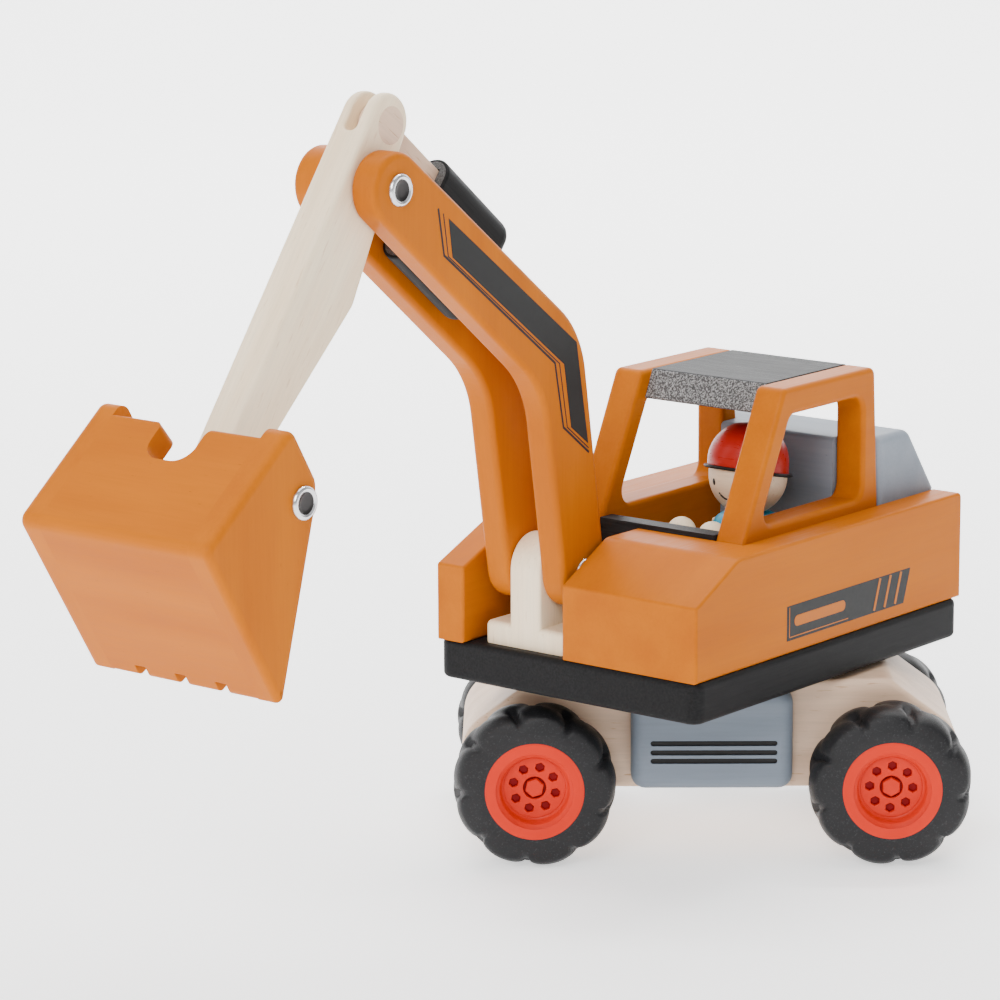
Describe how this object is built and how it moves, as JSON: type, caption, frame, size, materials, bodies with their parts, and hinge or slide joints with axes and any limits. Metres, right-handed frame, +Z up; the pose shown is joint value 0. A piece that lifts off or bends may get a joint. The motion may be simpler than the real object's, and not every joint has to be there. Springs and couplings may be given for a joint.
{
  "type": "toy excavator",
  "caption": "Wooden toy excavator with a slewing cab, jointed digging arm, rolling wheels and a lift-out peg driver.",
  "frame": {"origin": "on the ground under the slew axis, midway between the four wheels", "axes": "+Z up; X along the chassis, -X towards its front axle; the upper structure is turned 231.57 degrees about Z from +X"},
  "size_m": [0.3302, 0.3446, 0.2914],
  "materials": {
    "orange_paint": "satin paint on beech, faint grain",
    "black_paint": "satin black stain, grain showing",
    "slate_paint": "satin blue-grey paint",
    "bare_beech": "smooth, clear satin lacquer",
    "red_paint": "satin paint",
    "cyan_paint": "satin paint",
    "rim": "semi-gloss moulded plastic",
    "tyre": "matt rubber",
    "black_plastic": "matt",
    "steel": "polished push caps and pins"
  },
  "bodies": {
    "chassis": {"chassis_block": "bare_beech", "tank_left": "slate_paint", "tank_right": "slate_paint", "slew_washer": "black_plastic"},
    "front_wheels": {"front_axle": "steel", "front_rim_left": "rim", "front_rim_right": "rim", "front_tyre_left": "tyre", "front_tyre_right": "tyre"},
    "rear_wheels": {"rear_axle": "steel", "rear_rim_left": "rim", "rear_rim_right": "rim", "rear_tyre_left": "tyre", "rear_tyre_right": "tyre"},
    "upper": {"slew_pin": "steel", "base_board": "black_paint", "left_fender": "orange_paint", "right_fender": "orange_paint", "cab_frame_left": "orange_paint", "cab_frame_right": "orange_paint", "cab_roof": "black_paint", "dash_board": "black_paint", "seat_block": "bare_beech", "control_levers": "bare_beech", "engine_block": "slate_paint", "boom_foot": "bare_beech"},
    "boom": {"boom_plate_left": "orange_paint", "boom_plate_right": "orange_paint", "ram_block": "black_paint", "foot_pin": "steel", "foot_pin_caps": "steel", "head_pin": "steel", "head_pin_caps": "steel"},
    "stick": {"stick_bar": "bare_beech", "fork_axle": "steel", "fork_plugs": "bare_beech"},
    "rod": {"ram_rod": "bare_beech"},
    "bucket": {"bucket_side_left": "orange_paint", "bucket_side_right": "orange_paint", "bucket_top": "orange_paint", "bucket_front": "orange_paint", "bucket_pin_rod": "steel", "bucket_pin_caps": "steel"},
    "driver": {"driver_body": "cyan_paint", "driver_head": "bare_beech", "driver_helmet": "red_paint", "driver_brim": "black_plastic"}
  },
  "joints": [
    {"name": "slew", "type": "hinge", "parent": "chassis", "child": "upper", "pos_m": [0, 0, 0.067], "axis": [0, 0, 1], "continuous": true},
    {"name": "front_roll", "type": "hinge", "parent": "chassis", "child": "front_wheels", "pos_m": [-0.0651, 0, 0.03], "axis": [0, 1, 0], "continuous": true},
    {"name": "rear_roll", "type": "hinge", "parent": "chassis", "child": "rear_wheels", "pos_m": [0.0651, 0, 0.03], "axis": [0, 1, 0], "continuous": true},
    {"name": "boom_lift", "type": "hinge", "parent": "upper", "child": "boom", "pos_m": [-0.06077, -0.04152, 0.1106], "axis": [0.7834, -0.6216, 0], "range_deg": [-18, 24]},
    {"name": "stick_swing", "type": "hinge", "parent": "boom", "child": "stick", "pos_m": [-0.12386, -0.12103, 0.2604], "axis": [-0.7834, 0.6216, 0], "range_deg": [-10, 40]},
    {"name": "ram_slide", "type": "slide", "parent": "boom", "child": "rod", "axis": [-0.4854, -0.6118, 0.6246], "range_m": [-0.016, 0.0045]},
    {"name": "bucket_curl", "type": "hinge", "parent": "stick", "child": "bucket", "pos_m": [-0.17166, -0.18127, 0.1698], "axis": [0.7834, -0.6216, 0], "range_deg": [-45, 60]},
    {"name": "driver_lift", "type": "slide", "parent": "upper", "child": "driver", "axis": [0, 0, 1], "range_m": [0, 0.009]}
  ],
  "couplings": [
    {"joint": "ram_slide", "follows": "stick_swing", "m_per_rad": -0.022}
  ]
}
